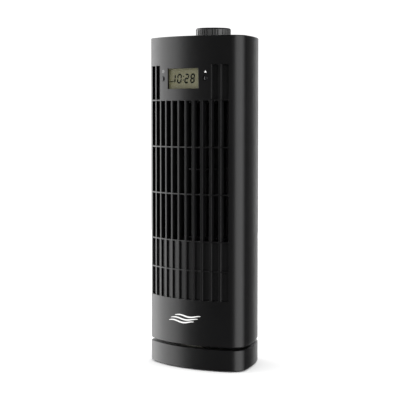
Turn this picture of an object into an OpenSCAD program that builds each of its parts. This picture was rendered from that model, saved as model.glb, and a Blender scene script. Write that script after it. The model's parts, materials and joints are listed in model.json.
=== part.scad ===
// Desktop oscillating tower fan with a clock.
// +Z up, the front faces -Y, the origin is on the swivel axis at floor level.

/* [Body] */
// Overall width of the housing
body_w = 115.4; // [108:0.2:140]
// Overall depth of the housing
body_d = 95; // [92:0.5:115]
// Radius of the bowed front
front_r = 108; // [90:1:150]
// Radius of the two front corners
corner_r = 14; // [10:0.5:17]
// Radius of the long side curves
side_r = 220; // [150:5:320]
// Radius of the rounded back
rear_r = 39.5; // [34:0.5:44]
// Wall thickness of the casings
wall = 2.2; // [1.8:0.1:3]
// How far the front and rear casings meet in front of the swivel axis
seam_front = 12; // [8:0.5:16]
// Height of the plain band under the grille
lower_panel_h = 44.6; // [38:0.1:55]
// Height of the plain band above the grille
upper_panel_h = 27.9; // [26:0.1:40]

/* [Base] */
// Height of the base's top face above the floor
base_top = 21.1; // [21:0.1:26]
// Height of the swivel gap between base and tower
swivel_gap = 2.4; // [2.4:0.1:4]
// Height of the base's lower edge above the floor
base_lift = 1; // [1:0.1:2]
// Swing of the tower to either side, in degrees
swing = 30; // [20:1:30]

/* [Grille] */
// Number of upright ribs
rib_count = 10; // [10:2:12]
// Spacing of the upright ribs
rib_pitch = 9.14; // [8:0.01:9.2]
// Width of an upright rib
rib_w = 2.4; // [2:0.1:3.4]
// Depth of the ribs, front to back
rib_depth = 4; // [3:0.1:5]
// Thickness of the level crossbars
bar_h = 1.3; // [1:0.1:2.4]
// Number of closed rows at the bottom
blind_rows = 2; // [1:1:3]
// Height of a closed row
blind_row_h = 28.45; // [28:0.05:36]
// Depth of the closed pockets in the bottom rows
pocket_depth = 1.8; // [1:0.1:2.4]
// Depth of the closed pockets beside the clock
side_pocket_depth = 2.5; // [1:0.1:2.6]
// Number of open rows
open_rows = 3; // [2:1:4]
// Height of an open row
open_row_h = 45.45; // [36:0.05:55]
// Height of the row that holds the clock
clock_row_h = 33.7; // [33:0.1:42]

/* [Clock] */
// Height of the window's middle above the foot of its row
window_mid_h = 20.8; // [17:0.05:24]
// Width of the clock window
window_w = 39; // [32:0.5:41]
// Height of the clock window
window_h = 19.5; // [16:0.5:22]
// Distance of each button from the middle
button_x = 27; // [26.5:0.1:28]
// Radius of a button
button_r = 2.3; // [1.8:0.1:2.6]
// Travel of a button
button_travel = 0.6; // [0.3:0.1:0.8]

/* [Knob] */
// Radius of the knob
knob_r = 17.3; // [14:0.1:22]
// Height of the knob
knob_h = 9; // [8.5:0.1:14]
// Number of grip flutes round the knob
flute_count = 40; // [24:2:60]

/* [Blower] */
// Outer radius of the blower wheel
wheel_r = 27; // [22:0.5:27]
// Number of blades
blade_count = 28; // [20:1:36]
// Radius of the motor shaft
shaft_r = 2.5; // [2:0.1:3]

/* [Hidden] */
$fn = 48;

black = "#1c1c1e";
dark = "#111113";
steel = "#b9bcc0";
slip = 0.1;     // gap between faces that slide on each other
free = 0.2;     // gap round a fixed piece that drops into place
big = 400;      // larger than the whole fan

// ---- plan outline: four tangent arcs a side, turned from the front (0) to the back (180) ----
front_c = [0, front_r - body_d / 2];
corner_x = body_w / 2 - corner_r;
corner_c = [corner_x, front_c.y - sqrt(pow(front_r - corner_r, 2) - pow(corner_x, 2))];
rear_c = [0, body_d / 2 - rear_r];
side_c = circles_meet(corner_c, side_r - corner_r, rear_c, side_r - rear_r);
front_turn = turn_of(corner_c - front_c);
corner_turn = turn_of(corner_c - side_c);
side_turn = turn_of(rear_c - side_c);

// where two circles meet, on the left of the line from a to b
function circles_meet(a, ra, b, rb) =
    let (d = norm(b - a), u = (b - a) / d, along = (d * d + ra * ra - rb * rb) / (2 * d))
    a + along * u + sqrt(ra * ra - along * along) * [-u.y, u.x];
function turn_of(v) = atan2(v.x, -v.y);
function towards(turn) = [sin(turn), -cos(turn)];
function arc(c, r, from, to, steps) = [for (i = [1:steps]) c + r * towards(from + (to - from) * i / steps)];
function half_outline(inset) = concat(
    [[0, -body_d / 2 + inset]],
    arc(front_c, front_r - inset, 0, front_turn, 14),
    arc(corner_c, corner_r - inset, front_turn, corner_turn, 14),
    arc(side_c, side_r - inset, corner_turn, side_turn, 7),
    arc(rear_c, rear_r - inset, side_turn, 180, 14));
function outline(inset) = let (h = half_outline(inset))
    concat(h, [for (i = [len(h) - 2:-1:1]) [-h[i].x, h[i].y]]);
// depth of the bowed front, at a distance x from the middle
function front_y(x, inset = 0) = front_c.y - sqrt(pow(front_r - inset, 2) - x * x);

// ---- levels, from the floor up ----
base_ceiling = base_top - wall;
tower_z = base_top + swivel_gap;
grille_z = tower_z + lower_panel_h;
open_z = grille_z + blind_rows * blind_row_h;
clock_z = open_z + open_rows * open_row_h;
grille_top = clock_z + clock_row_h;
tower_top = grille_top + upper_panel_h;
window_z = clock_z + window_mid_h;

// ---- shared shapes ----
module prism(inset, z0, z1) {
    translate([0, 0, z0]) linear_extrude(z1 - z0) polygon(outline(inset));
}
module ring_prism(outer, inner, z0, z1) {
    difference() {
        prism(outer, z0, z1);
        prism(inner, z0 - 1, z1 + 1);
    }
}
module block(x0, x1, y0, y1, z0, z1) {
    translate([min(x0, x1), y0, z0]) cube([abs(x1 - x0), y1 - y0, z1 - z0]);
}
module tube(r_out, r_in, z0, z1) {
    translate([0, 0, z0]) difference() {
        cylinder(r = r_out, h = z1 - z0);
        translate([0, 0, -1]) cylinder(r = r_in, h = z1 - z0 + 2);
    }
}
// a cylinder along Y from y0 to y1
module rod_y(r, x, z, y0, y1) {
    translate([x, y1, z]) rotate([90, 0, 0]) cylinder(r = r, h = y1 - y0);
}
module rod_z(r, p, z0, z1) {
    translate([p.x, p.y, z0]) cylinder(r = r, h = z1 - z0);
}
// a pan-head screw whose head sits on z = 0 and whose shank goes up
module screw(shank_r, length, head_r, head_h) {
    difference() {
        union() {
            cylinder(r = shank_r, h = length);
            translate([0, 0, -head_h]) cylinder(r = head_r, h = head_h);
        }
        for (a = [0, 90]) rotate([0, 0, a])
            translate([-head_r * 0.6, -0.35, -head_h - 1]) cube([head_r * 1.2, 0.7, 1 + head_h * 0.45]);
    }
}

// ---- base ----
plate_z = base_lift + 2.2;                       // top of the bottom plate
base_boss_r = 3.6;
base_screw_r = 1.5;
rear_boss_y = body_d / 2 - wall - base_boss_r - 4.2;
base_points = [for (s = [-1, 1]) each [[s * (body_w / 2 - 10.5), -17], [s * 14, rear_boss_y]]];
foot_r = 6;
foot_sink = 1;
foot_edge = 2.6;                                 // from a front foot to the inside of the wall
foot_x = body_w / 2 - 23;
front_foot_y = front_y(foot_x) + wall + foot_r + foot_edge;
rear_foot = [23, 26];
foot_points = [for (s = [-1, 1]) each [[s * foot_x, front_foot_y], [s * rear_foot.x, rear_foot.y]]];
collar_r = 30;
collar_in = 25.5;
gland_z = base_lift + 9.1;
gland_r = 5;
gland_bore = 3.4;
gland_flange = 6.2;

module base_shell() {
    color(black) difference() {
        union() {
            ring_prism(0, wall, base_lift, base_top);
            difference() {
                prism(wall / 2, base_ceiling, base_top);
                rod_z(collar_r + 0.4, [0, 0], base_ceiling - 1, base_top + 1);
            }
            for (p = base_points) rod_z(base_boss_r, p, plate_z, base_ceiling + 0.5);
        }
        for (p = base_points) rod_z(base_screw_r, p, plate_z - 1, plate_z + 11);
        rod_y(gland_r, 0, gland_z, 30, body_d);
    }
}

module base_plate() {
    color(dark) difference() {
        prism(wall + free, base_lift, plate_z);
        for (p = base_points) {
            rod_z(base_screw_r + 0.3, p, 0, plate_z + 1);
            rod_z(3.4, p, 0, base_lift + 1.2);
        }
        for (p = foot_points) rod_z(foot_r + slip, p, 0, base_lift + foot_sink);
    }
}

module base_screws() {
    color(steel) for (p = base_points)
        translate([p.x, p.y, base_lift + 1.2]) screw(base_screw_r, 10, 3.1, 1.1);
}

module rubber_feet() {
    color("#2a2a2a") for (p = foot_points) {
        rod_z(foot_r - 0.6, p, 0, 0.6);
        rod_z(foot_r, p, 0.6, base_lift + foot_sink);
    }
}

// bush that lines the mains lead's way into the base
module cord_gland() {
    color(dark) difference() {
        union() {
            rod_y(gland_r, 0, gland_z, body_d / 2 - wall - 1.8, body_d / 2 - 0.3);
            rod_y(gland_flange, 0, gland_z, body_d / 2 - wall - 3.4, body_d / 2 - wall - 0.8);
        }
        rod_y(gland_bore, 0, gland_z, 30, body_d);
    }
}

// ---- swivel: collar of the tower in the base's round opening, held up and down by washers ----
floor_z = tower_z + 0.6;                         // underside of the tower's floor plate
floor_t = 2.4;
pad_z = base_top + 1;                            // underside of the floor's bearing ring
ring_t = 2;
ring_top = base_ceiling - 1;
ring_screw_r = 1.2;
ring_screw_at = (collar_r + collar_in) / 2;
ring_screw_turns = [30:120:270];                  // clear of the crank guide
crank_at = 14.5;                                 // swivel axis to crank axis
crank_r = crank_at * sin(swing);                 // crank axis to pin
pin_r = 1.6;
crank_disc_r = crank_r + pin_r + 1.3;
slot_room = 0.8;                                 // the pin's path is not quite a straight line
guide_z = ring_top - ring_t - 4.3;
lead_hole = [0, -12];
// screws that hold the floor to the casings
floor_boss_r = 4;
floor_boss_h = 12;
floor_screw_r = 1.4;
floor_head_r = 2.5;
floor_head_h = 1.4;                              // heads stand flush in the floor's underside
boss_bite = 0.5;                                 // how far a boss runs into the wall beside it
front_floor_points = [for (s = [-1, 1]) [s * corner_c.x, corner_c.y]
    + (corner_r - wall - floor_boss_r + boss_bite) * [s * sin(50), -cos(50)]];
rear_floor_points = [for (s = [-1, 1]) rear_c
    + (rear_r - wall - floor_boss_r + boss_bite) * [s * sin(38), cos(38)]];
floor_points = concat(front_floor_points, rear_floor_points);

module slip_washer_upper() {
    color("#e8e4da") tube(36, collar_r + 0.6, base_top, pad_z - slip);
}
module slip_washer_lower() {
    color("#e8e4da") tube(33.6, collar_r + 0.6, ring_top + slip, base_ceiling);
}

module tower_floor() {
    color(black) difference() {
        union() {
            prism(wall + free, floor_z, floor_z + floor_t);
            rod_z(37, [0, 0], pad_z, floor_z + 1);
            rod_z(collar_r, [0, 0], ring_top, floor_z + 1);
        }
        rod_z(collar_in, [0, 0], ring_top - 1, floor_z);
        rod_z(4, [0, crank_at], 0, big);
        rod_z(4, lead_hole, 0, big);
        for (a = ring_screw_turns) rotate([0, 0, a])
            rod_z(ring_screw_r, [ring_screw_at, 0], ring_top - 1, ring_top + 5);
        for (s = [-1, 1]) rod_z(1.4, [s * motor_ear, crank_at], floor_z - 1, big);
        for (p = floor_points) {
            rod_z(floor_screw_r + 0.3, p, floor_z - 1, big);
            rod_z(floor_head_r + free, p, floor_z - 1, floor_z + floor_head_h);
        }
    }
}

module floor_screws() {
    color(steel) for (p = floor_points)
        translate([p.x, p.y, floor_z + floor_head_h]) screw(floor_screw_r, 10, floor_head_r, floor_head_h);
}

module retaining_ring() {
    color(steel) difference() {
        tube(34, collar_in, ring_top - ring_t, ring_top);
        for (a = ring_screw_turns) rotate([0, 0, a])
            rod_z(ring_screw_r + 0.2, [ring_screw_at, 0], 0, big);
    }
}

module retaining_screws() {
    color(steel) for (a = ring_screw_turns) rotate([0, 0, a])
        translate([ring_screw_at, 0, ring_top - ring_t]) screw(ring_screw_r, 6.5, 2.1, 1.3);
}

// slotted bar on the bottom plate, in which the crank pin runs
module crank_guide() {
    slot_y0 = crank_at - crank_r;
    slot_y1 = crank_at + crank_r;
    half = pin_r + slot_room;
    color("#3a3d42") difference() {
        union() {
            block(-half - 3, half + 3, slot_y0 - half - 3, slot_y1 + half + 2, guide_z, guide_z + 3);
            for (y = [slot_y0 - half - 1.5, slot_y1 + half + 0.5])
                block(-half - 3, half + 3, y - 1.5, y + 1.5, plate_z, guide_z + 1);
        }
        block(-half, half, slot_y0, slot_y1, 0, big);
        for (y = [slot_y0, slot_y1]) rod_z(half, [0, y], 0, big);
    }
}

// ---- oscillation drive, on the tower's floor ----
motor_ear = 23.5;
osc_z = floor_z + floor_t;
osc_h = 14;

module oscillation_motor() {
    color("#8d9196") difference() {
        union() {
            rod_z(19.5, [0, crank_at], osc_z, osc_z + osc_h);
            block(-motor_ear - 3.5, motor_ear + 3.5, crank_at - 3.5, crank_at + 3.5, osc_z, osc_z + 1.2);
        }
        rod_z(2.1, [0, crank_at], osc_z - 1, osc_z + 8);
        for (s = [-1, 1]) rod_z(1.6, [s * motor_ear, crank_at], 0, big);
    }
}

module oscillation_motor_screws() {
    color(steel) for (s = [-1, 1])
        translate([s * motor_ear, crank_at, osc_z + 1.2]) rotate([180, 0, 0]) screw(1.4, 3, 2.6, 1.6);
}

module crank_disc() {
    disc_z = ring_top - 1.5;
    color("#e8e4da") difference() {
        union() {
            rod_z(crank_disc_r, [0, crank_at], disc_z, disc_z + 2.6);
            rod_z(2, [0, crank_at], disc_z + 1, osc_z + 7);
        }
        rod_z(pin_r, [0, crank_at + crank_r], 0, disc_z + 2);
    }
}

module crank_pin() {
    color(steel) rod_z(pin_r, [0, crank_at + crank_r], guide_z - 1, ring_top + 0.5);
}

// ---- casings ----
screw_x = rear_r * sin(42);                      // casing screws, within the rounded back
screw_z = [tower_z + 22, tower_top - 10];
shelf_y = 2;
opening_w = rib_pitch - rib_w;
grille_half = (rib_count + 1) * rib_pitch / 2 - rib_w / 2;
panel_half = (rib_count / 2 - 1.5) * rib_pitch + rib_w / 2;   // the clock's panel ends on a rib
clock_pad_y = front_y(0) + 8;                    // flat back of the clock's panel
lens_y = front_y(window_w / 2) + 1.4;            // front of the lens
cover_t = 2.2;
ledge = 1.6;                                     // inward ledge that carries the top cover
cover_top = tower_top - 0.5;
ledge_z = cover_top - cover_t;
lip_t = 1.2;
lip_y = 4;

function column_x(i) = (i - rib_count / 2) * rib_pitch;
// openings of the grille between two levels, cut straight back
module openings(z0, z1, y_back) {
    for (i = [0:rib_count])
        block(column_x(i) - opening_w / 2, column_x(i) + opening_w / 2, -body_d, y_back, z0, z1);
}
module open_slots() {
    for (row = [0:open_rows - 1]) {
        z = open_z + row * open_row_h;
        openings(z + bar_h / 2, z + open_row_h - bar_h / 2, -seam_front - 4);
    }
}
module blind_pockets() {
    difference() {
        for (row = [0:blind_rows - 1])
            openings(grille_z + row * blind_row_h + (row == 0 ? 0 : bar_h / 2),
                     grille_z + (row + 1) * blind_row_h - bar_h / 2, -seam_front - 4);
        prism(pocket_depth, 0, open_z);
    }
    difference() {
        openings(clock_z + bar_h / 2, grille_top, -seam_front - 4);
        prism(side_pocket_depth, clock_z, grille_top + 1);
        block(-panel_half, panel_half, -body_d, 0, clock_z, grille_top + 1);
    }
}
module front_half() {
    block(-big / 2, big / 2, -big / 2, -seam_front, -1, big);
}
module rear_half() {
    block(-big / 2, big / 2, -seam_front, big / 2, -1, big);
}

board_y = clock_pad_y + 4.9;                     // front face of the clock's board
board_screw_x = panel_half - 0.9;
board_screw_z = 10;

module front_grille_shell() {
    color(black) difference() {
        union() {
            intersection() {
                union() {
                    ring_prism(0, wall, tower_z, tower_top);
                    ring_prism(wall - 0.5, wall + ledge, ledge_z - 2, ledge_z);
                    difference() {
                        ring_prism(0.5, rib_depth, grille_z - 3, grille_top + 3);
                        for (s = [-1, 1])
                            block(s * (grille_half + 2.2), s * body_w, -body_d, body_d, 0, big);
                        block(-panel_half, panel_half, clock_pad_y, 0, clock_z + 5, big);
                    }
                    intersection() {
                        prism(0.5, clock_z + 5, grille_top + 1);
                        block(-panel_half, panel_half, -body_d, clock_pad_y, 0, big);
                    }
                    ring_prism(wall - 0.5, wall + free + lip_t, tower_z + 6, ledge_z - 6);
                    // bosses for the casing screws
                    intersection() {
                        prism(0.5, 0, big);
                        for (s = [-1, 1], z = screw_z) rod_y(3.4, s * screw_x, z, -body_d, -seam_front);
                    }
                }
                front_half();
            }
            // tongue that slides inside the rear casing
            intersection() {
                ring_prism(wall + free, wall + free + lip_t, tower_z + 6, ledge_z - 6);
                block(-big / 2, big / 2, -seam_front - 4, -seam_front + lip_y, 0, big);
            }
            for (s = [-1, 1], z = screw_z) rod_y(3.4, s * screw_x, z, -seam_front - 1, shelf_y);
            intersection() {
                prism(0.5, tower_z, tower_top);
                for (p = front_floor_points) rod_z(floor_boss_r, p, osc_z, osc_z + floor_boss_h);
            }
            for (s = [-1, 1], t = [-1, 1])
                rod_y(2.3, s * board_screw_x, window_z + t * board_screw_z, clock_pad_y - 1, board_y);
        }
        open_slots();
        blind_pockets();
        for (s = [-1, 1], z = screw_z) rod_y(1.3, s * screw_x, z, shelf_y - 15, shelf_y + 1);
        for (p = front_floor_points) rod_z(floor_screw_r, p, 0, osc_z + floor_boss_h - 3);
        // clock window, with a step behind it for the lens
        block(-window_w / 2, window_w / 2, -body_d, 0, window_z - window_h / 2, window_z + window_h / 2);
        block(-window_w / 2 - 1.6, window_w / 2 + 1.6, lens_y, 0,
              window_z - window_h / 2 - 1.5, window_z + window_h / 2 + 1.5);
        for (s = [-1, 1]) {
            rod_y(button_r + 0.3, s * button_x, window_z, -body_d, 0);
            for (t = [-1, 1])
                rod_y(0.8, s * board_screw_x, window_z + t * board_screw_z, board_y - 4, board_y + 1);
        }
    }
}

// intake slots in the back, cut straight through
intake_count = 11;
intake_pitch = 6.4;
intake_w = 3.6;
module intake(z0, z1, count) {
    for (i = [0:count - 1]) {
        x = (i - (count - 1) / 2) * intake_pitch;
        block(x - intake_w / 2, x + intake_w / 2, 8, body_d, z0, z1);
    }
}

plate_ledge = 1.6;
duct_floor_t = 2.2;
duct_floor_z = open_z - 0.8 - duct_floor_t;
duct_roof_z = clock_z + 0.8;
duct_roof_t = 2.2;

module rear_shell() {
    color(black) difference() {
        union() {
            intersection() {
                union() {
                    ring_prism(0, wall, tower_z, tower_top);
                    ring_prism(wall - 0.5, wall + ledge, ledge_z - 2, ledge_z);
                }
                rear_half();
            }
            // rails under the duct's floor and over its roof
            intersection() {
                union() {
                    ring_prism(wall - 0.5, rib_depth + 2,
                               duct_floor_z - slip - plate_ledge, duct_floor_z - slip);
                    ring_prism(wall - 0.5, rib_depth + 2, duct_roof_z + duct_roof_t + slip,
                               duct_roof_z + duct_roof_t + slip + plate_ledge);
                }
                block(-big / 2, big / 2, lip_y + 2, big, 0, big);
            }
            intersection() {
                prism(0.5, 0, big);
                for (s = [-1, 1], z = screw_z) rod_y(5.2, s * screw_x, z, shelf_y, body_d);
            }
            intersection() {
                prism(0.5, tower_z, tower_top);
                for (p = rear_floor_points) rod_z(floor_boss_r, p, osc_z, osc_z + floor_boss_h);
            }
        }
        for (row = [0:open_rows - 1])
            intake(open_z + row * open_row_h + 1.5, open_z + (row + 1) * open_row_h - 1.5, intake_count);
        intake(grille_z + 4, grille_z + blind_row_h, 7);
        for (s = [-1, 1], z = screw_z) {
            rod_y(3.4, s * screw_x, z, shelf_y + 2, body_d);
            rod_y(1.7, s * screw_x, z, shelf_y - 1, body_d);
        }
        for (p = rear_floor_points) rod_z(floor_screw_r, p, 0, osc_z + floor_boss_h - 3);
        rod_z(lead_r + free, lead_at, duct_floor_z - 4, duct_roof_z + 8);
    }
}

module shell_screws() {
    color(steel) for (s = [-1, 1], z = screw_z)
        translate([s * screw_x, shelf_y + 2, z]) rotate([90, 0, 0]) screw(1.3, 14, 2.9, 1.8);
}

// ---- top cover, clipped under the casings' ledge ----
hook_w = 8;
hook_room = 0.4;                                 // gap between a hook and the curved ledge
module cover_hook() {
    reach = body_d / 2 - wall - ledge - hook_room;
    block(-hook_w / 2, hook_w / 2, reach - 1.6, reach, ledge_z - 5, ledge_z + 0.5);
    block(-hook_w / 2, hook_w / 2, reach - 1.6, reach + 0.9, ledge_z - 4, ledge_z - 2 - slip);
}
module top_cover() {
    color(black) {
        difference() {
            union() {
                prism(wall + 0.15, ledge_z, cover_top);
                for (a = [0, 180]) rotate([0, 0, a]) cover_hook();
            }
            rod_z(bushing_r + slip, [0, 0], 0, big);
        }
    }
}

// ---- selector switch and knob ----
bushing_r = 4.5;
stem_r = 3;
terminal_x = 8;
nut_h = 2.2;
knob_z = cover_top + 0.8;
knob_top = knob_z + knob_h;
knob_round = 1.9;
bushing_rise = 0.8;                              // bushing above the nut
hub_z = cover_top + nut_h + bushing_rise + 0.4;  // foot of the knob's hub, clear of the bushing
hub_r = 6;
shaft_flat = 1.6;                                // axis to the flat of the D-shaped shaft
shaft_top = knob_top - 3;
flute_r = 0.8;
flute_out = 0.2;                                 // a flute's axis outside the knob's rim

module switch_body() {
    color("#2d4a3c") difference() {
        union() {
            block(-13, 13, -13, lead_at.y + 2, ledge_z - 13, ledge_z);
            rod_z(bushing_r, [0, 0], ledge_z - 1, cover_top + nut_h + bushing_rise);
            for (x = [-terminal_x, 0, terminal_x])
                block(x - 1.2, x + 1.2, lead_at.y - 0.4, lead_at.y + 0.4, lead_top - 2, ledge_z - 12);
        }
        rod_z(stem_r + 0.05, [0, 0], ledge_z - 8, big);
    }
}
module switch_nut() {
    color(steel) translate([0, 0, cover_top]) difference() {
        cylinder(r = 7, h = nut_h, $fn = 6);
        translate([0, 0, -1]) cylinder(r = bushing_r, h = nut_h + 2);
    }
}
module switch_shaft() {
    color(steel) difference() {
        rod_z(stem_r, [0, 0], ledge_z - 7, shaft_top);
        block(shaft_flat, hub_r, -hub_r, hub_r, hub_z, big);
    }
}
module knob() {
    color("#232325") {
        difference() {
            rotate_extrude($fn = 160) polygon(concat(
                [[0, knob_z], [knob_r, knob_z]],
                [for (a = [0:15:75]) [knob_r - knob_round + knob_round * cos(a),
                                      knob_top - knob_round + knob_round * sin(a)]],
                [[knob_r - knob_round, knob_top], [0, knob_top]]));
            // hollow underside with a hub in the middle
            difference() {
                rod_z(knob_r - 2.2, [0, 0], knob_z - 1, knob_top - 2);
                rod_z(hub_r, [0, 0], hub_z, knob_top);
            }
            difference() {
                rod_z(stem_r, [0, 0], knob_z - 1, shaft_top);
                block(shaft_flat, hub_r, -hub_r, hub_r, hub_z - 1, big);
            }
            for (i = [0:flute_count - 1]) rotate([0, 0, i * 360 / flute_count])
                rod_z(flute_r, [knob_r + flute_out, 0], knob_z - 1, knob_top - knob_round);
            // pointer groove
            block(-0.8, 0.8, -knob_r + 3, -4, knob_top - 0.5, knob_top + 1);
        }
    }
}

// ---- duct ----
duct_h0 = duct_floor_z + duct_floor_t;
wheel_gap = 2.5;
plate_inset = rib_depth + 0.3;
lead_r = 1.5;
lead_at = [29, 20];
post_x = 21;

module duct_plate(z, t, hole_r) {
    difference() {
        prism(plate_inset, z, z + t);
        rod_z(hole_r, [0, 0], 0, big);
        rod_z(lead_r + 0.4, lead_at, 0, big);
    }
}
module duct_floor() {
    color(dark) difference() {
        union() {
            duct_plate(duct_floor_z, duct_floor_t, 7);
            for (s = [-1, 1]) rod_z(3.6, [s * post_x, 0], bracket_top, duct_floor_z + 1);
        }
        for (s = [-1, 1]) rod_z(1.6, [s * post_x, 0], 0, bracket_top + 10);
    }
}
module duct_roof() {
    color(dark) duct_plate(duct_roof_z, duct_roof_t, 8);
}

// curved wall that opens out from the wheel to the left of the outlet
scroll_t = 1.6;
nose_r = 1.3;
scroll_from = 140;
scroll_to = 212;
scroll_end = body_w / 2 - 2.6;
function scroll_at(a) = wheel_r + wheel_gap
    + (scroll_end - wheel_r - wheel_gap) * pow((a - scroll_from) / (scroll_to - scroll_from), 1.3);
function polar(r, a) = r * [cos(a), sin(a)];
// a duct wall stands between the floor and the roof and stops short of the casings
module duct_wall() {
    translate([0, 0, duct_h0]) linear_extrude(duct_roof_z - duct_h0) intersection() {
        polygon(outline(plate_inset));
        children();
    }
}
module scroll_wall() {
    color(dark) duct_wall() polygon(concat(
        [for (a = [scroll_from:4:scroll_to]) polar(scroll_at(a), a)],
        [for (a = [scroll_to:-4:scroll_from]) polar(scroll_at(a) + scroll_t, a)]));
}
// straight wall on the right, whose nose stands close to the wheel
module tongue_wall() {
    nose = polar(wheel_r + wheel_gap + 1, -22);
    foot = polar(scroll_end, -32);
    u = (foot - nose) / norm(foot - nose);
    side = scroll_t / 2 * [-u.y, u.x];
    color(dark) duct_wall() {
        polygon([nose - side, foot - side, foot + side, nose + side]);
        translate(nose) circle(r = nose_r, $fn = 24);
    }
}

// ---- blower wheel ----
wheel_z0 = duct_h0 + 2;
wheel_z1 = duct_roof_z - 2;
blade_depth = 7;                                 // inner edge to outer edge
blade_edge = wheel_r - 0.4;
blade_in = blade_edge - blade_depth;
blade_t = 0.9;
blade_lean = 24;                                 // turn from the inner to the outer edge
blade_bow = 5;                                   // extra turn in the middle of the blade
disc_t = 1.4;
// a point of the curved blade, k from 0 at its inner edge to 1, and side -1 or 1
function blade_turn(k) = blade_lean * (k - 0.5) + blade_bow * sin(180 * k);
function blade_point(k, side) = polar(blade_in + blade_depth * k, blade_turn(k))
    + side * blade_t / 2 * polar(1, blade_turn(k) + 90);
module blade() {
    polygon(concat([for (k = [0:0.2:1]) blade_point(k, -1)], [for (k = [1:-0.2:0]) blade_point(k, 1)]));
}
module blower_wheel() {
    color("#26282b") difference() {
        union() {
            for (i = [0:blade_count - 1]) rotate([0, 0, i * 360 / blade_count])
                translate([0, 0, wheel_z0]) linear_extrude(wheel_z1 - wheel_z0) blade();
            for (z = [wheel_z0, (wheel_z0 + wheel_z1) / 2, wheel_z1 - disc_t])
                rod_z(wheel_r, [0, 0], z, z + disc_t);
            rod_z(6, [0, 0], wheel_z0, wheel_z0 + 12);
            rod_z(5, [0, 0], wheel_z1 - 9, wheel_z1);
        }
        rod_z(shaft_r, [0, 0], 0, wheel_z0 + 10);
        rod_z(2, [0, 0], wheel_z1 - 7, big);
    }
}
module wheel_stub() {
    color(steel) rod_z(2, [0, 0], wheel_z1 - 7, duct_roof_z + 6);
}
module top_bearing() {
    color("#b08d57") tube(4.5, 2.05, duct_roof_z - 1, duct_roof_z + 5);
}
module top_bearing_mount() {
    color("#1a1a1a") {
        tube(8, 4.5, duct_roof_z, duct_roof_z + 4);
        tube(10, 7.5, duct_roof_z + duct_roof_t, duct_roof_z + 4);
    }
}

// ---- shaded-pole motor, hung under the duct's floor ----
stack_h = 22;
bracket_h = 12;
bracket_t = 2;
bracket_top = duct_floor_z - 12;
stack_z = bracket_top - bracket_t - bracket_h - stack_h;
rotor_r = 12.6;
motor_bore = 13.1;
stator_x = 26;
stator_y0 = -18;
stator_y1 = 32;
leg_t = 7;
bobbin_x = 14;
bolt_r = 1.6;

module motor_stator() {
    color("#7d8186") difference() {
        block(-stator_x, stator_x, stator_y0, stator_y1, stack_z, stack_z + stack_h);
        rod_z(motor_bore, [0, 0], 0, big);
        block(-bobbin_x - 1, bobbin_x + 1, 17, stator_y1 - leg_t, 0, big);
        for (s = [-1, 1]) rod_z(bolt_r + 0.1, [s * post_x, 0], 0, big);
    }
}
module coil_ring(x, grow, hole) {
    difference() {
        block(-x, x, stator_y1 - leg_t - grow, stator_y1 + grow, stack_z - grow, stack_z + stack_h + grow);
        block(-x - 1, x + 1, stator_y1 - leg_t - hole, stator_y1 + hole,
              stack_z - hole, stack_z + stack_h + hole);
    }
}
module motor_bobbin() {
    color("#e9e3d2") {
        coil_ring(bobbin_x, 1.2, 0.1);
        for (x = [-bobbin_x, bobbin_x - 1.2]) translate([x + 0.6, 0, 0]) coil_ring(0.6, 7, 0.1);
    }
}
module motor_winding() {
    color("#b4622d") coil_ring(bobbin_x - 1.3, 6, 1.3);
}
module bracket(z_plate, z_leg) {
    for (s = [-1, 1]) translate([s * post_x, 0, 0])
        block(-3.6, 3.6, -6, 6, min(z_plate, z_leg), max(z_plate + bracket_t, z_leg));
    block(-post_x, post_x, -6, 6, z_plate, z_plate + bracket_t);
    rod_z(7, [0, 0], z_plate - 3, z_plate + bracket_t + 3);
}
module bracket_holes() {
    rod_z(5, [0, 0], 0, big);
    for (s = [-1, 1]) rod_z(bolt_r + 0.1, [s * post_x, 0], 0, big);
}
lower_plate_z = stack_z - bracket_h - bracket_t;
upper_plate_z = bracket_top - bracket_t;
module motor_bracket_lower() {
    color(steel) difference() {
        bracket(lower_plate_z, stack_z);
        bracket_holes();
    }
}
module motor_bracket_upper() {
    color(steel) difference() {
        bracket(upper_plate_z, stack_z + stack_h);
        bracket_holes();
    }
}
module motor_bearings() {
    color("#b08d57") for (z = [lower_plate_z, upper_plate_z])
        tube(5, shaft_r + 0.04, z - 2, z + bracket_t + 2);
}
module motor_bolts() {
    color(steel) for (s = [-1, 1])
        translate([s * post_x, 0, lower_plate_z]) screw(bolt_r, bracket_top + 8 - lower_plate_z, 3, 2);
}
module motor_shaft() {
    color(steel) rod_z(shaft_r, [0, 0], lower_plate_z - 4, wheel_z0 + 10);
}
module motor_rotor() {
    color("#8a8d92") difference() {
        union() {
            rod_z(rotor_r, [0, 0], stack_z, stack_z + stack_h);
            rod_z(rotor_r - 1.2, [0, 0], stack_z - 2.5, stack_z + stack_h + 2.5);
        }
        rod_z(shaft_r, [0, 0], 0, big);
    }
}

// ---- clock ----
lens_w = window_w + 3;
lens_h = window_h + 2.8;
lens_t = 1;
glass_t = 1.8;
glass_y = lens_y + lens_t + 0.1;
holder_y = glass_y + glass_t;
board_t = 1.6;
tact_w = 5.4;
tact_t = 2.6;
stem_y = board_y - tact_t;                       // front face of the tact switches
key_stem_r = 1.5;
stem_bite = 0.5;                                 // how far a resting button's stem stands in its switch
tact_well = stem_bite + button_travel + 0.3;     // depth of the well that the stem sinks into
cell_r = 5.8;

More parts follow.
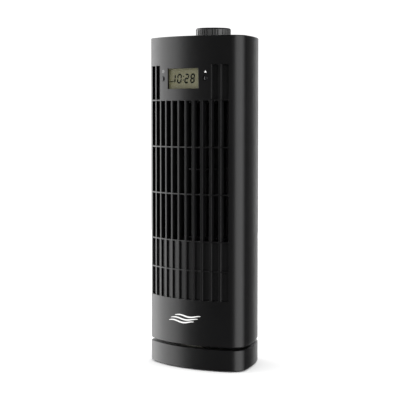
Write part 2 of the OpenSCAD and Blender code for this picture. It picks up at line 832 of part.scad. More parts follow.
module clock_lens() {
    color([0.8, 0.85, 0.85, 0.3])
        block(-lens_w / 2, lens_w / 2, lens_y, lens_y + lens_t,
              window_z - lens_h / 2, window_z + lens_h / 2);
}
module clock_display() {
    color("#8b8f6c") block(-lens_w / 2 + 0.3, lens_w / 2 - 0.3, glass_y, glass_y + glass_t,
                           window_z - lens_h / 2 + 0.3, window_z + lens_h / 2 - 0.3);
}
module clock_holder() {
    color("#d8d8d4") difference() {
        block(-lens_w / 2 + 0.3, lens_w / 2 - 0.3, holder_y, board_y,
              window_z - lens_h / 2 + 0.3, window_z + lens_h / 2 - 0.3);
        block(-lens_w / 2 + 2, lens_w / 2 - 2, holder_y + 1.2, board_y + 1,
              window_z - lens_h / 2 + 2, window_z + lens_h / 2 - 2);
    }
}
module clock_board() {
    color("#2f6b3c") difference() {
        block(-panel_half - 1, panel_half + 1, board_y, board_y + board_t, window_z - 14, window_z + 14);
        for (s = [-1, 1], t = [-1, 1])
            rod_y(1, s * board_screw_x, window_z + t * board_screw_z, 0 - body_d, 0);
    }
}
module clock_screws() {
    color(steel) for (s = [-1, 1], t = [-1, 1])
        translate([s * board_screw_x, board_y + board_t, window_z + t * board_screw_z])
            rotate([90, 0, 0]) screw(0.8, 5, 1.9, 1);
}
module tact_switches() {
    color("#3b3b3d") for (s = [-1, 1]) difference() {
        block(s * button_x - tact_w / 2, s * button_x + tact_w / 2, stem_y, board_y,
              window_z - tact_w / 2, window_z + tact_w / 2);
        rod_y(key_stem_r + slip, s * button_x, window_z, stem_y - 1, stem_y + tact_well);
    }
}
module clock_cell() {
    color("#c9ccd0") rod_y(cell_r, 0, window_z, board_y + board_t + 0.2, board_y + board_t + 5.4);
}
module cell_clip() {
    back = board_y + board_t;
    color(steel) {
        for (s = [-1, 1]) block(s * 7.6 - 0.9, s * 7.6 + 0.9, back, back + 6, window_z - 3, window_z + 3);
        block(-8.5, 8.5, back + 5.5, back + 6.1, window_z - 3, window_z + 3);
    }
}
// a button: domed cap, retaining flange and stem
module button(x) {
    cap_y = front_y(button_x) + 0.5;
    flange_y = clock_pad_y + slip;
    color("#141416") {
        difference() {
            rod_y(button_r, x, window_z, cap_y, flange_y + 0.5);
            translate([x, cap_y + 10.6, window_z]) difference() {
                cube(24, center = true);
                sphere(r = 10.6, $fn = 64);
            }
        }
        rod_y(button_r + 1, x, window_z, flange_y, flange_y + 0.9);
        rod_y(key_stem_r, x, window_z, flange_y + 0.5, stem_y + stem_bite);
    }
}
module set_button() { button(-button_x); }
module adjust_button() { button(button_x); }

// ---- lead from the selector's terminal down to the motor's coil ----
lead_bend = 5;
lead_top = ledge_z - 17;
lead_bottom = stack_z + stack_h + 4;
// an elbow and a level run, up = 1 where the lead rises from it and -1 where it drops
module lead_end(z, up, x_end) {
    translate([lead_at.x - lead_bend, lead_at.y, z + up * lead_bend]) rotate([-up * 90, 0, 0])
        rotate_extrude(angle = 90) translate([lead_bend, 0]) circle(r = lead_r, $fn = 24);
    translate([x_end, lead_at.y, z]) rotate([0, 90, 0])
        cylinder(r = lead_r, h = lead_at.x - lead_bend - x_end, $fn = 24);
}
module wiring_lead() {
    color("#8c1f1f") {
        translate([lead_at.x, lead_at.y, lead_bottom + lead_bend])
            cylinder(r = lead_r, h = lead_top - lead_bottom - 2 * lead_bend, $fn = 24);
        lead_end(lead_bottom, 1, bobbin_x);
        lead_end(lead_top, -1, terminal_x + 1.2);
    }
}

base_shell();
base_plate();
base_screws();
rubber_feet();
cord_gland();
crank_guide();
slip_washer_upper();
slip_washer_lower();
tower_floor();
floor_screws();
retaining_ring();
retaining_screws();
oscillation_motor();
oscillation_motor_screws();
front_grille_shell();
rear_shell();
shell_screws();
top_cover();
duct_floor();
duct_roof();
scroll_wall();
tongue_wall();
motor_stator();
motor_bobbin();
motor_winding();
motor_bracket_lower();
motor_bracket_upper();
motor_bearings();
motor_bolts();
top_bearing();
top_bearing_mount();
clock_lens();
clock_display();
clock_holder();
clock_board();
clock_screws();
tact_switches();
clock_cell();
cell_clip();
switch_body();
switch_nut();
wiring_lead();
blower_wheel();
wheel_stub();
motor_shaft();
motor_rotor();
crank_disc();
crank_pin();
knob();
switch_shaft();
set_button();
adjust_button();
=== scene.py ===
import json
import math

import bmesh
import bpy
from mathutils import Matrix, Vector
from mathutils.geometry import convex_hull_2d


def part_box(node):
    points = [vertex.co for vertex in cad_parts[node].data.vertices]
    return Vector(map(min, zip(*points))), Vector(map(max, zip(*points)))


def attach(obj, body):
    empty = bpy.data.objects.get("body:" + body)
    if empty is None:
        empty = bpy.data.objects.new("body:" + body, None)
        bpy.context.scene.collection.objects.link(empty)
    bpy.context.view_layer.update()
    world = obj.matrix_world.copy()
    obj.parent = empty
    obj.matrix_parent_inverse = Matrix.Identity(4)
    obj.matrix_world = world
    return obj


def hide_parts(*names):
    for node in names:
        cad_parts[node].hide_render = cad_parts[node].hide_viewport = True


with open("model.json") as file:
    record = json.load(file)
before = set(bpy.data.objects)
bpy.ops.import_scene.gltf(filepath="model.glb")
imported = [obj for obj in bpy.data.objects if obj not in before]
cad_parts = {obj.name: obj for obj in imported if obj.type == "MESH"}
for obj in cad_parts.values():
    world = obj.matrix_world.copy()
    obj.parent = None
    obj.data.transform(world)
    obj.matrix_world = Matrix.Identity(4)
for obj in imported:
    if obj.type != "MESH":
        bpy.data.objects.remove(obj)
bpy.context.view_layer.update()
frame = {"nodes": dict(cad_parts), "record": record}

MM = 0.001

# ---- camera: metres and degrees, azimuth from straight in front towards +X ----
CAMERA_AZIMUTH = 40.277
CAMERA_DISTANCE = 1.3849
CAMERA_HEIGHT = 0.25005
CAMERA_DROP = 3.621
CAMERA_PAN = 0.549
LENS = 125.45

# ---- rounding of moulded edges ----
TOP_EDGE = 1.0 * MM
FOOT_EDGE = 1.3 * MM
SMALL_EDGE = 0.38 * MM
SHARP = math.radians(30)
BLEND = math.radians(48)

# ---- how near a point counts as on the outer wall or at a height ----
ON_WALL = 0.05 * MM
ON_LEVEL = 0.02 * MM
FACET_SAG = 0.06 * MM

# ---- printed marks: how far they stand out of a face and reach into it ----
PRINT_DEPTH = 0.012 * MM
PRINT_ROOT = 0.02 * MM

# ---- the lights: how tall they are, and how high their middles are ----
LIGHT_HEIGHT = 2.6
LIGHT_MIDDLE = 0.17

NODE_SLOT = {s["node"]: s["material_slot"] for s in frame["record"]["subparts"]}
NODE_BODY = {n: b for b, ns in frame["record"]["behaviour"]["bodies"].items() for n in ns}


# ------------------------------------------------------------------ shader helpers
def new_material(name):
    mat = bpy.data.materials.new(name)
    mat.use_nodes = True
    tree = mat.node_tree
    return mat, tree, tree.nodes["Principled BSDF"]


def add_node(tree, kind, inputs=None, **settings):
    node = tree.nodes.new(kind)
    for key, value in settings.items():
        setattr(node, key, value)
    for key, value in (inputs or {}).items():
        node.inputs[key].default_value = value
    return node


def noise(tree, scale, detail=2.0, stretch=(1, 1, 1)):
    """Object-space noise; stretch squeezes it along an axis, for brushing and grain."""
    coords = add_node(tree, "ShaderNodeTexCoord")
    mapping = add_node(tree, "ShaderNodeMapping")
    mapping.inputs["Scale"].default_value = stretch
    texture = add_node(tree, "ShaderNodeTexNoise", {"Scale": scale, "Detail": detail, "Roughness": 0.55})
    tree.links.new(coords.outputs["Object"], mapping.inputs["Vector"])
    tree.links.new(mapping.outputs["Vector"], texture.inputs["Vector"])
    return texture.outputs["Fac"]


def vary(tree, fac, low, high, socket):
    """Drives a number socket between low and high by a 0 to 1 texture."""
    limits = {"From Min": 0.3, "From Max": 0.7, "To Min": low, "To Max": high}
    span = add_node(tree, "ShaderNodeMapRange", limits)
    tree.links.new(fac, span.inputs["Value"])
    tree.links.new(span.outputs["Result"], socket)


def tint(tree, fac, dark, light, socket):
    """Drives a colour socket between two colours by a 0 to 1 texture."""
    ramp = add_node(tree, "ShaderNodeValToRGB")
    ramp.color_ramp.elements[0].position = 0.3
    ramp.color_ramp.elements[1].position = 0.7
    ramp.color_ramp.elements[0].color = (*dark, 1)
    ramp.color_ramp.elements[1].color = (*light, 1)
    tree.links.new(fac, ramp.inputs["Fac"])
    tree.links.new(ramp.outputs["Color"], socket)


def bump(tree, shader, heights):
    """Adds up (texture, depth in metres) pairs as surface relief."""
    last = None
    for fac, depth in heights:
        relief = add_node(tree, "ShaderNodeBump", {"Strength": 1.0, "Distance": depth})
        tree.links.new(fac, relief.inputs["Height"])
        if last:
            tree.links.new(last.outputs["Normal"], relief.inputs["Normal"])
        last = relief
    tree.links.new(last.outputs["Normal"], shader.inputs["Normal"])


def moulded(name, colour, roughness, spark=0.000006, spread=0.1, **sockets):
    """Moulded plastic: a spark-eroded grain, slow flow marks and slightly uneven gloss."""
    mat, tree, shader = new_material(name)
    for key, value in sockets.items():
        shader.inputs[key.replace("_", " ")].default_value = value
    slow = noise(tree, 22, 3)
    fine = noise(tree, 1500, 2)
    tint(tree, slow, [c * (1 - spread) for c in colour], [c * (1 + spread) for c in colour],
         shader.inputs["Base Color"])
    vary(tree, noise(tree, 160, 3), roughness - 0.02, roughness + 0.02, shader.inputs["Roughness"])
    bump(tree, shader, [(slow, 0.00004), (fine, spark)])
    return mat


def metal(name, colour, roughness, stretch=(1, 1, 14)):
    """Plated, turned or drawn metal with faint lines along one axis."""
    mat, tree, shader = new_material(name)
    shader.inputs["Metallic"].default_value = 1.0
    lines = noise(tree, 260, 4, stretch)
    tint(tree, lines, [c * 0.8 for c in colour], colour, shader.inputs["Base Color"])
    vary(tree, lines, roughness - 0.08, roughness + 0.08, shader.inputs["Roughness"])
    bump(tree, shader, [(lines, 0.000008)])
    return mat


def blend_greys(tree, fac, low, high):
    """Mixes two slightly uneven greys by a 0 to 1 value and gives the mix's colour."""
    mix = add_node(tree, "ShaderNodeMix", data_type="RGBA")
    tree.links.new(fac, mix.inputs["Factor"])
    for grey, socket in ((low, mix.inputs["A"]), (high, mix.inputs["B"])):
        tint(tree, noise(tree, 60, 3), (grey * 0.9,) * 3, (grey * 1.1,) * 3, socket)
    return mix.outputs["Result"]


def knob_painted_light():
    """Knob plastic: grips painted lighter on their lands than in the flutes, below a darker satin crown. The
    lighter lands are painted highlight of the side lights, and the darker flutes and crown are painted
    shade.
    """
    mat, tree, shader = new_material("knob_plastic")
    coords = add_node(tree, "ShaderNodeTexCoord")
    split = add_node(tree, "ShaderNodeSeparateXYZ")
    flat = add_node(tree, "ShaderNodeVectorMath", operation="MULTIPLY")
    flat.inputs[1].default_value = (1, 1, 0)
    reach = add_node(tree, "ShaderNodeVectorMath", operation="LENGTH")
    tree.links.new(coords.outputs["Object"], split.inputs["Vector"])
    tree.links.new(coords.outputs["Object"], flat.inputs[0])
    tree.links.new(flat.outputs["Vector"], reach.inputs[0])
    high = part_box("knob")[1]
    crown_span = {"From Min": high.z - 1.7 * MM, "From Max": high.z - 1.2 * MM}
    land_highlight_span = {"From Min": high.x - 0.45 * MM, "From Max": high.x - 0.1 * MM}
    crown = add_node(tree, "ShaderNodeMapRange", crown_span)
    land_highlight = add_node(tree, "ShaderNodeMapRange", land_highlight_span)
    tree.links.new(split.outputs["Z"], crown.inputs["Value"])
    tree.links.new(reach.outputs["Value"], land_highlight.inputs["Value"])
    gloss = add_node(tree, "ShaderNodeMapRange", {"To Min": 0.5, "To Max": 0.15})
    tree.links.new(crown.outputs["Result"], gloss.inputs["Value"])
    tree.links.new(gloss.outputs["Result"], shader.inputs["Specular IOR Level"])
    mix = add_node(tree, "ShaderNodeMix", data_type="RGBA")
    tree.links.new(crown.outputs["Result"], mix.inputs["Factor"])
    # Grip colour: lighter on the lands as painted highlight, darker in the flutes as painted shade.
    grips_painted_light = blend_greys(tree, land_highlight.outputs["Result"], 0.01, 0.062)
    tree.links.new(grips_painted_light, mix.inputs["A"])
    # Crown colour: kept darker than the grips, as painted shade on the top that faces the dark room above.
    tint(tree, noise(tree, 60, 3), (0.003, 0.003, 0.0035), (0.004, 0.004, 0.0045), mix.inputs["B"])
    tree.links.new(mix.outputs["Result"], shader.inputs["Base Color"])
    vary(tree, noise(tree, 160, 3), 0.27, 0.31, shader.inputs["Roughness"])
    bump(tree, shader, [(noise(tree, 1500, 2), 0.000004)])
    return mat


def window_plastic():
    """Clear acrylic: see-through, with a faint gloss."""
    mat, tree, shader = new_material("window")
    shader.inputs["Base Color"].default_value = (0.03, 0.032, 0.03, 1)
    shader.inputs["Alpha"].default_value = 0.1
    vary(tree, noise(tree, 90, 2), 0.05, 0.09, shader.inputs["Roughness"])
    return mat


def display_glass():
    """Olive liquid crystal glass with slow changes of tone and a fine change of gloss."""
    mat, tree, shader = new_material("lcd_glass")
    tint(tree, noise(tree, 35, 2), (0.163, 0.157, 0.082), (0.178, 0.171, 0.09), shader.inputs["Base Color"])
    vary(tree, noise(tree, 700, 2), 0.5, 0.6, shader.inputs["Roughness"])
    return mat


def rubber(name, colour):
    mat, tree, shader = new_material(name)
    grain = noise(tree, 1100, 3)
    dark = [c * 0.8 for c in colour]
    light = [c * 1.25 for c in colour]
    tint(tree, noise(tree, 60, 3), dark, light, shader.inputs["Base Color"])
    vary(tree, grain, 0.78, 0.9, shader.inputs["Roughness"])
    bump(tree, shader, [(grain, 0.00003)])
    return mat


def wound_wire():
    """Enamelled copper wire in close turns."""
    mat, tree, shader = new_material("copper")
    shader.inputs["Metallic"].default_value = 0.85
    coords = add_node(tree, "ShaderNodeTexCoord")
    turns = add_node(tree, "ShaderNodeTexWave", {"Scale": 700.0, "Distortion": 0.6}, bands_direction="X")
    tree.links.new(coords.outputs["Object"], turns.inputs["Vector"])
    # Colour runs darker into the grooves between turns: painted shade in the creases.
    tint(tree, turns.outputs["Fac"], (0.2, 0.06, 0.02), (0.62, 0.26, 0.1), shader.inputs["Base Color"])
    vary(tree, turns.outputs["Fac"], 0.4, 0.25, shader.inputs["Roughness"])
    bump(tree, shader, [(turns.outputs["Fac"], 0.0001)])
    return mat


def board_lacquer():
    mat, tree, shader = new_material("circuit_board")
    weave = noise(tree, 900, 2, (1, 1, 4))
    tint(tree, weave, (0.02, 0.09, 0.04), (0.03, 0.15, 0.06), shader.inputs["Base Color"])
    vary(tree, weave, 0.25, 0.4, shader.inputs["Roughness"])
    bump(tree, shader, [(weave, 0.00002)])
    return mat


BLACK = (0.0045, 0.0045, 0.0048)
MATERIALS = {
    "black_casing": moulded("black_casing", BLACK, 0.36),
    "dark_plastic": moulded("dark_plastic", (0.005, 0.005, 0.0055), 0.5, spark=0.00001),
    "knob_plastic": knob_painted_light(),
    "button_plastic": moulded("button_plastic", (0.008, 0.008, 0.009), 0.22, spark=0.000002),
    "white_plastic": moulded("white_plastic", (0.62, 0.6, 0.52), 0.45, spread=0.04),
    "green_plastic": moulded("green_plastic", (0.03, 0.07, 0.05), 0.45),
    "wire_red": moulded("wire_red", (0.3, 0.015, 0.012), 0.35, spread=0.05),
    "circuit_board": board_lacquer(),
    "foot_rubber": rubber("foot_rubber", (0.02, 0.02, 0.02)),
    "steel": metal("steel", (0.5, 0.51, 0.53), 0.3),
    "aluminium": metal("aluminium", (0.6, 0.6, 0.62), 0.38, stretch=(1, 1, 3)),
    "bronze": metal("bronze", (0.42, 0.28, 0.12), 0.4, stretch=(1, 1, 1)),
    "copper": wound_wire(),
    "window": window_plastic(),
    "lcd_glass": display_glass(),
}
PRINT_WHITE = moulded("print_white", (0.78, 0.78, 0.77), 0.5, spark=0.000002, spread=0.03)
PRINT_GREY = moulded("print_grey", (0.42, 0.42, 0.42), 0.5, spark=0.000002, spread=0.03)
LCD_INK = moulded("lcd_ink", (0.004, 0.0045, 0.003), 0.6, spark=0.000001, Specular_IOR_Level=0.05)


# ------------------------------------------------------------------ mesh helpers
def outline_sides():
    """The housing's outline in plan: each side's two ends, its normal and the smooth normals at its ends."""
    points = [v.co.to_2d() for v in frame["nodes"]["base_shell"].data.vertices]
    ring = [points[i] for i in convex_hull_2d(points)]
    ring = [p for p, q in zip(ring, ring[1:] + ring[:1]) if (q - p).length > 1e-5]
    sides = []
    for a, b in zip(ring, ring[1:] + ring[:1]):
        along = b - a
        out = Vector((along.y, -along.x)).normalized()
        sides.append([a, b, out if out.dot(a) > 0 else -out])
    blends = []
    for last, this in zip(sides[-1:] + sides[:-1], sides):
        blend = last[2] * (last[1] - last[0]).length + this[2] * (this[1] - this[0]).length
        blends.append(blend.normalized())
    return [(a, b, n, m0, m1) for (a, b, n), m0, m1 in zip(sides, blends, blends[1:] + blends[:1])]


OUTLINE = outline_sides()


def locate(point):
    """How far a point lies inside the housing's outline, and the smooth outward normal beside it."""
    flat = point.to_2d()
    inside, side = min(((a - flat).dot(n), i) for i, (a, b, n, m0, m1) in enumerate(OUTLINE))
    a, b, n, m0, m1 = OUTLINE[side]
    t = (flat - a).dot(b - a) / (b - a).length_squared
    t = max(0.0, min(1.0, t))
    normal = (m0 * (1 - t) + m1 * t).normalized()
    return inside, Vector((normal.x, normal.y, 0))


def depth(point):
    return locate(point)[0]


def front_surface(x):
    """Y of the bowed front at x, found by halving."""
    low, high = -60 * MM, 0.0
    for _ in range(40):
        mid = (low + high) / 2
        if depth(Vector((x, mid, 0))) < 0:
            low = mid
        else:
            high = mid
    return (low + high) / 2


def finish_object(name, mesh, body, slot=None, material=None):
    obj = bpy.data.objects.new(name, mesh)
    bpy.context.scene.collection.objects.link(obj)
    mesh.materials.clear()
    mesh.materials.append(material or MATERIALS[slot])
    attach(obj, body)
    return obj


def is_outer_wall(face, spots):
    """Whether a face is part of the housing's outer wall."""
    if abs(face.normal.z) > 0.05:
        return False
    if max(abs(spots[v.index][0]) for v in face.verts) > FACET_SAG:
        return False
    return face.normal.dot(spots[face.verts[0].index][1]) > 0.99


def corner_normals(bm):
    """A normal for every face corner: the true curve on the outer wall, else led by the largest faces."""
    bm.verts.ensure_lookup_table()
    bm.verts.index_update()
    bm.normal_update()
    spots = [locate(v.co) for v in bm.verts]
    wall = {f for f in bm.faces if is_outer_wall(f, spots)}
    area = {f: f.calc_area() for f in bm.faces}
    limit = math.cos(BLEND)
    normals = []
    for face in bm.faces:
        for loop in face.loops:
            spot = spots[loop.vert.index][1]
            if face in wall:
                normals.append(spot)
                continue
            total = Vector((0, 0, 0))
            for other in loop.vert.link_faces:
                if other.normal.dot(face.normal) > limit:
                    total += (spot if other in wall else other.normal) * area[other] ** 2
            normals.append(total.normalized() if total.length > 0 else face.normal.copy())
    return normals


def convex_corner(edge):
    return len(edge.link_faces) == 2 and edge.is_convex and edge.calc_face_angle() > SHARP


def on_outline(edge):
    return all(abs(depth(v.co)) < ON_WALL for v in edge.verts)


def level(edge, z):
    return all(abs(v.co.z - z) < ON_LEVEL for v in edge.verts)


def upright(edge):
    a, b = edge.verts
    return (a.co - b.co).to_2d().length < 1e-6


def long_rim(edge):
    """An outer edge that is long enough to be rounded."""
    return on_outline(edge) and edge.calc_length() > 2 * SMALL_EDGE


def clear_facets(bm, room):
    """Joins facets of the outer wall whose shared edge runs too close to a corner that will be rounded."""
    uprights = [e for e in bm.edges if len(e.link_faces) == 2 and upright(e) and on_outline(e)]
    sharp = [e for e in uprights if e.calc_face_angle() > SHARP]
    corners = {tuple(round(c, 7) for c in e.verts[0].co.to_2d()) for e in sharp}
    doomed = []
    for edge in uprights:
        spot = edge.verts[0].co.to_2d()
        if edge.calc_face_angle() < SHARP and any(1e-6 < (spot - Vector(c)).length < room for c in corners):
            doomed.append(edge)
    bmesh.ops.dissolve_edges(bm, edges=doomed, use_verts=True)


def round_off(bm, edges, radius, segments):
    if edges:
        bmesh.ops.bevel(bm, geom=edges, offset=radius, offset_type="OFFSET", segments=segments,
                        profile=0.5, affect="EDGES", clamp_overlap=False, miter_outer="SHARP")


def moulded_copy(node, big_edges=(), small=SMALL_EDGE, choose=long_rim):
    """The CAD node with its facets joined, its outer corners rounded and its curved walls shaded smooth."""
    mesh = frame["nodes"][node].data.copy()
    bm = bmesh.new()
    bm.from_mesh(mesh)
    bmesh.ops.remove_doubles(bm, verts=bm.verts, dist=1e-6)
    bmesh.ops.dissolve_limit(bm, angle_limit=math.radians(0.4), verts=bm.verts, edges=bm.edges)
    clear_facets(bm, 2 * SMALL_EDGE)
    for z, radius in big_edges:
        chosen = [e for e in bm.edges if convex_corner(e) and level(e, z) and on_outline(e)]
        round_off(bm, chosen, radius, 4)
    chosen = [e for e in bm.edges if convex_corner(e) and choose(e)]
    round_off(bm, chosen, small, 2)
    for face in bm.faces:
        face.smooth = True
    normals = corner_normals(bm)
    bm.to_mesh(mesh)
    bm.free()
    if "custom_normal" in mesh.attributes:
        mesh.attributes.remove(mesh.attributes["custom_normal"])
    mesh.normals_split_custom_set(normals)
    obj = finish_object(node + "_moulded", mesh, NODE_BODY[node], NODE_SLOT[node])
    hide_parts(node)
    return obj


def plate(name, outlines, y_of, thickness, body, material):
    """Thin raised shapes on an upright face: outlines are (x, z) loops, y_of gives the face's Y at x."""
    bm = bmesh.new()
    for loop in outlines:
        front = [bm.verts.new((x, y_of(x) - thickness, z)) for x, z in loop]
        back = [bm.verts.new((x, y_of(x) + PRINT_ROOT, z)) for x, z in loop]
        bm.faces.new(front)
        bm.faces.new(back[::-1])
        for i in range(len(loop)):
            j = (i + 1) % len(loop)
            bm.faces.new((front[j], front[i], back[i], back[j]))
    bmesh.ops.recalc_face_normals(bm, faces=bm.faces)
    mesh = bpy.data.meshes.new(name)
    bm.to_mesh(mesh)
    bm.free()
    return finish_object(name, mesh, body, material=material)


def circle(cx, cz, r, count):
    turns = [math.tau * i / count for i in range(count)]
    return [(cx + r * math.cos(t), cz + r * math.sin(t)) for t in turns]


def stroke(points, width):
    """A ribbon along an open (x, z) path, as quads; its width is a function of 0 to 1 along it."""
    quads = []
    sides = []
    for i, (x, z) in enumerate(points):
        ax, az = points[max(i - 1, 0)]
        bx, bz = points[min(i + 1, len(points) - 1)]
        run = math.hypot(bx - ax, bz - az)
        nx, nz = -(bz - az) / run, (bx - ax) / run
        w = width(i / (len(points) - 1)) / 2
        sides.append(((x + nx * w, z + nz * w), (x - nx * w, z - nz * w)))
    for (a, b), (c, d) in zip(sides, sides[1:]):
        quads.append([a, c, d, b])
    return quads


# ------------------------------------------------------------------ the object's pieces
def dress_cad_nodes():
    for name, obj in frame["nodes"].items():
        obj.data.materials.clear()
        obj.data.materials.append(MATERIALS[NODE_SLOT[name]])


def casings():
    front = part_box("front_grille_shell")
    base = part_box("base_shell")
    tower_edges = ((front[1].z, TOP_EDGE), (front[0].z, FOOT_EDGE))
    moulded_copy("front_grille_shell", tower_edges)
    moulded_copy("rear_shell", tower_edges)
    moulded_copy("base_shell", ((base[1].z, 0.8 * MM), (base[0].z, 0.8 * MM)))


def knob_and_cover():
    moulded_copy("knob", choose=lambda edge: False)
    moulded_copy("top_cover", small=0.3 * MM, choose=lambda edge: level(edge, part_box("top_cover")[1].z))


def button_cap(node):
    """A rounded cap over the front of a button."""
    radius, height, root = 2.25 * MM, 1.1 * MM, 0.26 * MM
    steps, count = 9, 32
    low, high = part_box(node)
    middle = (low + high) / 2
    foot = low.y + root
    bm = bmesh.new()
    rings = []
    for step in range(steps):
        t = math.radians(90 * step / steps)
        outline = circle(middle.x, middle.z, radius * math.cos(t), count)
        rings.append([bm.verts.new((x, foot - height * math.sin(t), z)) for x, z in outline])
    tip = bm.verts.new((middle.x, foot - height, middle.z))
    for inner, outer in zip(rings[1:], rings):
        for i in range(count):
            j = (i + 1) % count
            bm.faces.new((outer[i], outer[j], inner[j], inner[i]))
    for i in range(count):
        bm.faces.new((rings[-1][i], rings[-1][(i + 1) % count], tip))
    bm.faces.new(rings[0])
    bmesh.ops.recalc_face_normals(bm, faces=bm.faces)
    for face in bm.faces:
        face.smooth = len(face.verts) < 5
    mesh = bpy.data.meshes.new(node + "_cap")
    bm.to_mesh(mesh)
    bm.free()
    finish_object(node + "_cap", mesh, NODE_BODY[node], "button_plastic")


SEGMENTS = {"1": "bc", "0": "abcdef", "2": "abged", "8": "abcdefg"}


def digit(char, x, z, w, h, t, lean):
    """Seven-segment strokes t wide with pointed ends, leaning by lean metres a metre."""
    g = 0.06 * MM  # half the gap between two strokes
    mid = z + h / 2

    def level_bar(zc):
        return [(x + g, zc), (x + g + t / 2, zc + t / 2), (x + w - g - t / 2, zc + t / 2), (x + w - g, zc),
                (x + w - g - t / 2, zc - t / 2), (x + g + t / 2, zc - t / 2)]

    def upright_bar(xc, z0, z1):
        return [(xc, z0 + g), (xc + t / 2, z0 + g + t / 2), (xc + t / 2, z1 - g - t / 2), (xc, z1 - g),
                (xc - t / 2, z1 - g - t / 2), (xc - t / 2, z0 + g + t / 2)]

    bars = {"a": level_bar(z + h), "g": level_bar(mid), "d": level_bar(z),
            "f": upright_bar(x, mid, z + h), "b": upright_bar(x + w, mid, z + h),
            "e": upright_bar(x, z, mid), "c": upright_bar(x + w, z, mid)}
    return [[(px + (pz - z) * lean, pz) for px, pz in bars[s]] for s in SEGMENTS[char]]


def clock_face():
    """Digits, their colon and three small squares just in front of the display glass."""
    low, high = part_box("clock_display")
    mid_z = (low.z + high.z) / 2
    y = low.y
    h, w, t, lean = 7.8 * MM, 4.2 * MM, 1.7 * MM, 0.1
    z = mid_z - h / 2
    half_mark = 0.65 * MM
    colon_x, colon_r = -1.8 * MM, 0.65 * MM
    left_edges = (("1", -16.7), ("0", -9.0), ("2", 0.4), ("8", 7.9))
    shapes = []
    for char, x in left_edges:
        shapes += digit(char, x * MM, z, w, h, t, lean)
    for dz in (2.4, 6.0):
        shapes.append(circle(colon_x + dz * lean * MM, z + dz * MM, colon_r, 12))
    for dx in (-18.3, -16.6, -14.9):
        x, low_z = dx * MM, mid_z - 3.3 * MM
        shapes.append([(x - half_mark, low_z), (x + half_mark, low_z),
                       (x + half_mark, low_z + 2 * half_mark), (x - half_mark, low_z + 2 * half_mark)])
    plate("clock_digits", shapes, lambda x: y, 0.05 * MM, "tower", LCD_INK)


def clock_sign(middle, bottom):
    """A small dial with two hands, open at the top."""
    radius = 1.45 * MM
    centre_z = bottom + 1.1 * MM
    turns = [math.radians(a) for a in range(110, 431, 16)]
    ring = [(middle + radius * math.cos(t), centre_z + radius * math.sin(t)) for t in turns]
    hands = [(middle, bottom + 1.9 * MM), (middle, centre_z), (middle + 0.7 * MM, centre_z)]
    return stroke(ring, lambda k: 0.3 * MM) + stroke(hands, lambda k: 0.28 * MM)


def airflow_lines(bottom):
    """Three waves, each thickest at its middle."""
    gap, swing, waves, points = 2.9 * MM, 0.85 * MM, 1.25, 40
    lines = []
    for row, (x0, x1) in enumerate(((-18.0, 14.5), (-15.0, 19.0), (-9.0, 22.0))):
        path = []
        for i in range(points + 1):
            k = i / points
            x = (x0 + (x1 - x0) * k) * MM
            path.append((x, bottom + row * gap + swing * math.sin(math.tau * waves * k)))
        lines += stroke(path, lambda k: (0.35 + 1.05 * math.sin(math.pi * k) ** 0.6) * MM)
    return lines


def printed_marks():
    """A grey clock sign and a white arrow over the buttons, and white airflow lines below the grille."""
    low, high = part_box("set_button")
    centre = (low + high) / 2
    top = centre.z + 6.2 * MM
    sign = clock_sign(centre.x, top)
    plate("set_icon", sign, front_surface, PRINT_DEPTH, "tower", PRINT_GREY)
    low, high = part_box("adjust_button")
    x = (low.x + high.x) / 2 + 0.3 * MM
    arrow = [(x - 1.25 * MM, top - 0.9 * MM), (x + 1.25 * MM, top - 0.9 * MM), (x, top + 1.2 * MM)]
    plate("adjust_icon", [arrow], front_surface, PRINT_DEPTH, "tower", PRINT_WHITE)
    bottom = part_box("front_grille_shell")[0].z + 22.5 * MM
    plate("airflow_mark", airflow_lines(bottom), front_surface, PRINT_DEPTH, "tower", PRINT_WHITE)


def pointer_inlay():
    """White paint in the groove on top of the knob."""
    groove, slack, thickness = 0.5 * MM, 0.04 * MM, 0.3 * MM
    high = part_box("knob")[1]
    spots = [v.co for v in frame["nodes"]["knob"].data.vertices if v.co.to_2d().length < 0.85 * high.x]
    floor = [c for c in spots if abs(high.z - groove - c.z) < 0.1 * MM]
    xs = [c.x for c in floor]
    ys = [c.y for c in floor]
    bm = bmesh.new()
    bmesh.ops.create_cube(bm, size=1)
    size = Vector((max(xs) - min(xs) - slack, max(ys) - min(ys) - slack, thickness))
    middle = Vector(((max(xs) + min(xs)) / 2, (max(ys) + min(ys)) / 2, high.z - 0.34 * MM))
    for vert in bm.verts:
        vert.co = Vector(a * b for a, b in zip(vert.co, size)) + middle
    mesh = bpy.data.meshes.new("knob_pointer")
    bm.to_mesh(mesh)
    bm.free()
    finish_object("knob_pointer", mesh, "selector", material=PRINT_WHITE)


# ------------------------------------------------------------------ studio
def add_camera():
    data = bpy.data.cameras.new("camera")
    data.lens = LENS
    camera = bpy.data.objects.new("camera", data)
    azimuth = math.radians(CAMERA_AZIMUTH)
    across = math.sin(azimuth) * CAMERA_DISTANCE
    back = -math.cos(azimuth) * CAMERA_DISTANCE
    camera.location = (across, back, CAMERA_HEIGHT)
    camera.rotation_euler = (math.radians(90 - CAMERA_DROP), 0, math.radians(CAMERA_AZIMUTH + CAMERA_PAN))
    bpy.context.scene.collection.objects.link(camera)
    bpy.context.scene.camera = camera


def add_softbox(name, azimuth, distance, width, radiance):
    """A tall soft light that faces the fan from an azimuth, seen in reflections and not by the camera."""
    data = bpy.data.lights.new(name, "AREA")
    data.shape = "RECTANGLE"
    data.size = width
    data.size_y = LIGHT_HEIGHT
    data.energy = radiance * width * LIGHT_HEIGHT * math.pi
    lamp = bpy.data.objects.new(name, data)
    a = math.radians(azimuth)
    lamp.location = (math.sin(a) * distance, -math.cos(a) * distance, LIGHT_MIDDLE)
    lamp.rotation_euler = (math.radians(90), 0, a)
    lamp.visible_camera = False
    bpy.context.scene.collection.objects.link(lamp)


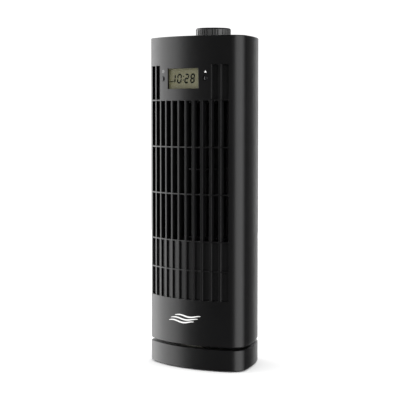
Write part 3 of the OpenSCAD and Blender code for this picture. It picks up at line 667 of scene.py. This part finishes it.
def add_floor():
    """A pale round sweep that rises into a backdrop on every side."""
    flat, bend, wall, steps = 2.2, 1.0, 1.6, 10
    profile = [(0.0, 0.0), (flat * 0.25, 0.0), (flat * 0.5, 0.0), (flat, 0.0)]
    for i in range(1, steps + 1):
        t = math.radians(90 * i / steps)
        profile.append((flat + bend * math.sin(t), bend * (1 - math.cos(t))))
    profile.append((flat + bend, bend + wall))
    bm = bmesh.new()
    rows = []
    turns = 72
    for i in range(turns):
        t = math.tau * i / turns
        rows.append([bm.verts.new((r * math.cos(t), r * math.sin(t), z)) for r, z in profile[1:]])
    centre = bm.verts.new((0, 0, 0))
    for a, b in zip(rows, rows[1:] + rows[:1]):
        bm.faces.new((centre, a[0], b[0]))
        for k in range(len(a) - 1):
            bm.faces.new((a[k], a[k + 1], b[k + 1], b[k]))
    mesh = bpy.data.meshes.new("sweep")
    bm.to_mesh(mesh)
    bm.free()
    for poly in mesh.polygons:
        poly.use_smooth = True
    sweep = bpy.data.objects.new("sweep", mesh)
    mat, tree, shader = new_material("pale_paper")
    shader.inputs["Roughness"].default_value = 0.9
    shader.inputs["Specular IOR Level"].default_value = 0.1
    tint(tree, noise(tree, 3, 2), (0.9, 0.9, 0.9), (0.92, 0.92, 0.92), shader.inputs["Base Color"])
    mesh.materials.append(mat)
    bpy.context.scene.collection.objects.link(sweep)
    sweep.visible_glossy = False
    sweep.visible_shadow = False
    sweep.visible_diffuse = False


def add_world():
    """Even white light for the matt surfaces, and a dark room in the reflections."""
    world = bpy.data.worlds.new("studio")
    bpy.context.scene.world = world
    world.use_nodes = True
    world.cycles.sampling_method = "NONE"
    tree = world.node_tree
    tree.nodes.clear()
    path = add_node(tree, "ShaderNodeLightPath")
    even = add_node(tree, "ShaderNodeBackground", {"Color": (1, 1, 1, 1), "Strength": 1.12})
    room = add_node(tree, "ShaderNodeBackground", {"Color": (1, 1, 1, 1), "Strength": 0.02})
    pick = add_node(tree, "ShaderNodeMixShader")
    out = add_node(tree, "ShaderNodeOutputWorld")
    tree.links.new(path.outputs["Is Glossy Ray"], pick.inputs["Fac"])
    tree.links.new(even.outputs["Background"], pick.inputs[1])
    tree.links.new(room.outputs["Background"], pick.inputs[2])
    tree.links.new(pick.outputs["Shader"], out.inputs["Surface"])


def studio():
    add_floor()
    add_world()
    add_softbox("left_softbox", -78, 1.5, 2.2, 2.2)
    add_softbox("left_core", -88, 1.45, 0.6, 0.8)
    add_softbox("right_softbox", 86, 1.4, 1.4, 2.05)
    add_softbox("right_edge", 122, 1.45, 0.7, 1.35)
    add_softbox("back_strip", 211, 1.5, 0.8, 1.6)
    view = bpy.context.scene.view_settings
    view.view_transform = "Standard"
    view.look = "None"


add_camera()
dress_cad_nodes()
casings()
knob_and_cover()
pointer_inlay()
button_cap("set_button")
button_cap("adjust_button")
clock_face()
printed_marks()
studio()
